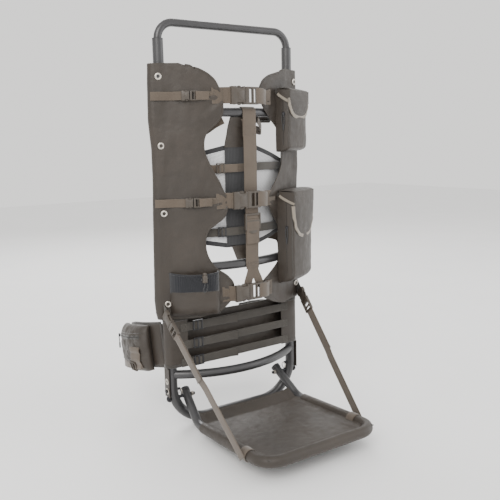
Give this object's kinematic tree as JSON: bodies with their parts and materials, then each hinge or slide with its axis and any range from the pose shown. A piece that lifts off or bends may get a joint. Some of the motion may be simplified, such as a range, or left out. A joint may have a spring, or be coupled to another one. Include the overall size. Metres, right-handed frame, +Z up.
{
  "type": "external-frame load hauling pack",
  "caption": "Tubular backpack frame with a fold-down load shelf, sliding top hoop, laced side panels, mesh back band, shoulder harness and hip belt with pockets.",
  "frame": {"origin": "on the floor, below the middle of the whole object", "axes": "+X to the right seen from the load side, -Y towards the load shelf, +Y towards the wearer, +Z up along the uprights"},
  "size_m": [0.4864, 0.6944, 1.0095],
  "materials": {
    "tube_metal": "satin gunmetal powder coat",
    "black_steel": "blackened",
    "nickel": "nickel plated",
    "pack_cloth": "coated nylon, semi-matt, olive taupe",
    "webbing": "woven nylon webbing, khaki taupe",
    "dark_webbing": "woven nylon webbing, dark olive",
    "buckle_plastic": "moulded acetal, satin",
    "black_plastic": "moulded, matt",
    "stretch_cloth": "stretch knit",
    "mesh_cloth": "open polyester mesh"
  },
  "bodies": {
    "frame": {"left_upright": "tube_metal", "right_upright": "tube_metal", "bottom_bend": "tube_metal", "upper_crossbar": "tube_metal", "middle_crossbar": "tube_metal", "lower_crossbar": "tube_metal", "hoop_bushings": "black_plastic", "hinge_bolts": "black_steel", "hinge_nuts": "nickel", "clevis_pins": "black_steel", "split_rings": "nickel", "grommets": "nickel", "left_panel": "pack_cloth", "right_panel": "pack_cloth", "lower_tabs": "webbing", "left_pocket": "pack_cloth", "stretch_band": "stretch_cloth", "cord_lock": "buckle_plastic", "upper_pocket": "pack_cloth", "lower_pocket": "pack_cloth", "lace_straps": "webbing", "lace_sockets": "buckle_plastic", "panel_straps": "webbing", "panel_sockets": "buckle_plastic", "vertical_strap": "webbing", "strap_slider": "buckle_plastic", "mesh_band": "mesh_cloth", "mesh_straps": "dark_webbing", "mesh_ties": "pack_cloth", "left_shoulder_strap": "pack_cloth", "right_shoulder_strap": "pack_cloth", "lumbar_band": "pack_cloth", "lumbar_straps": "webbing", "lumbar_sliders": "buckle_plastic", "left_belt_wing": "pack_cloth", "right_belt_wing": "pack_cloth", "belt_pockets": "pack_cloth", "belt_webbing": "webbing"},
    "hoop": {"top_hoop": "tube_metal"},
    "shelf": {"shelf_tube": "tube_metal", "shelf_caps": "black_plastic", "shelf_canvas": "pack_cloth", "strap_loops": "webbing"},
    "left_strap_top": {"left_strap_upper": "webbing", "left_strap_socket": "buckle_plastic", "left_strap_tongue": "buckle_plastic"},
    "left_strap_foot": {"left_strap_lower": "webbing"},
    "right_strap_top": {"right_strap_upper": "webbing", "right_strap_socket": "buckle_plastic", "right_strap_tongue": "buckle_plastic"},
    "right_strap_foot": {"right_strap_lower": "webbing"},
    "upper_pocket_flap": {"upper_flap": "pack_cloth"},
    "lower_pocket_flap": {"lower_flap": "pack_cloth"},
    "top_buckle_clip": {"top_clip": "buckle_plastic"},
    "middle_buckle_clip": {"middle_clip": "buckle_plastic"},
    "bottom_buckle_clip": {"bottom_clip": "buckle_plastic"},
    "upper_side_buckle_clip": {"upper_side_clip": "buckle_plastic"},
    "lower_side_buckle_clip": {"lower_side_clip": "buckle_plastic"},
    "belt_buckle_clip": {"belt_clip": "buckle_plastic"},
    "lock_button": {"cord_lock_plunger": "buckle_plastic"}
  },
  "joints": [
    {"name": "hoop_slide", "type": "slide", "parent": "frame", "child": "hoop", "axis": [0, 0, 1], "range_m": [0, 0.15]},
    {"name": "shelf_fold", "type": "hinge", "parent": "frame", "child": "shelf", "pos_m": [0, 0.0418, 0.081], "axis": [-1, 0, 0], "range_deg": [0, 65]},
    {"name": "left_strap_swing", "type": "hinge", "parent": "frame", "child": "left_strap_top", "pos_m": [-0.207, 0.0418, 0.332], "axis": [-1, 0, 0], "range_deg": [-5.03, 0.3]},
    {"name": "left_strap_bend", "type": "hinge", "parent": "left_strap_top", "child": "left_strap_foot", "pos_m": [-0.187, -0.12741, 0.17012], "axis": [-1, 0, 0], "range_deg": [-0.5, 137.65]},
    {"name": "right_strap_swing", "type": "hinge", "parent": "frame", "child": "right_strap_top", "pos_m": [0.207, 0.0418, 0.332], "axis": [-1, 0, 0], "range_deg": [-5.03, 0.3]},
    {"name": "right_strap_bend", "type": "hinge", "parent": "right_strap_top", "child": "right_strap_foot", "pos_m": [0.187, -0.12741, 0.17012], "axis": [-1, 0, 0], "range_deg": [-0.5, 137.65]},
    {"name": "upper_flap_open", "type": "hinge", "parent": "frame", "child": "upper_pocket_flap", "pos_m": [0.15799, 0.00339, 0.8494], "axis": [-0.8698, -0.4934, 0], "range_deg": [0, 85]},
    {"name": "lower_flap_open", "type": "hinge", "parent": "frame", "child": "lower_pocket_flap", "pos_m": [0.16402, 0.0069, 0.5934], "axis": [-0.8589, -0.5122, 0], "range_deg": [0, 85]},
    {"name": "top_buckle_release", "type": "slide", "parent": "frame", "child": "top_buckle_clip", "axis": [1, 0, 0], "range_m": [0, 0.03]},
    {"name": "middle_buckle_release", "type": "slide", "parent": "frame", "child": "middle_buckle_clip", "axis": [1, 0, 0], "range_m": [0, 0.03]},
    {"name": "bottom_buckle_release", "type": "slide", "parent": "frame", "child": "bottom_buckle_clip", "axis": [1, 0, 0], "range_m": [0, 0.03]},
    {"name": "upper_side_buckle_release", "type": "slide", "parent": "frame", "child": "upper_side_buckle_clip", "axis": [0.909, -0.4169, 0], "range_m": [0, 0.015]},
    {"name": "lower_side_buckle_release", "type": "slide", "parent": "frame", "child": "lower_side_buckle_clip", "axis": [0.909, -0.4169, 0], "range_m": [0, 0.015]},
    {"name": "belt_buckle_release", "type": "slide", "parent": "frame", "child": "belt_buckle_clip", "axis": [1, 0, 0], "range_m": [0, 0.03]},
    {"name": "lock_button_press", "type": "slide", "parent": "frame", "child": "lock_button", "axis": [0, 0, -1], "range_m": [0, 0.003], "stiffness_N_per_m": 500}
  ],
  "couplings": [
    {"joint": "left_strap_swing", "follows": "shelf_fold", "ratio": -0.07278},
    {"joint": "left_strap_bend", "follows": "shelf_fold", "ratio": 2.1101},
    {"joint": "right_strap_swing", "follows": "shelf_fold", "ratio": -0.07278},
    {"joint": "right_strap_bend", "follows": "shelf_fold", "ratio": 2.1101}
  ]
}
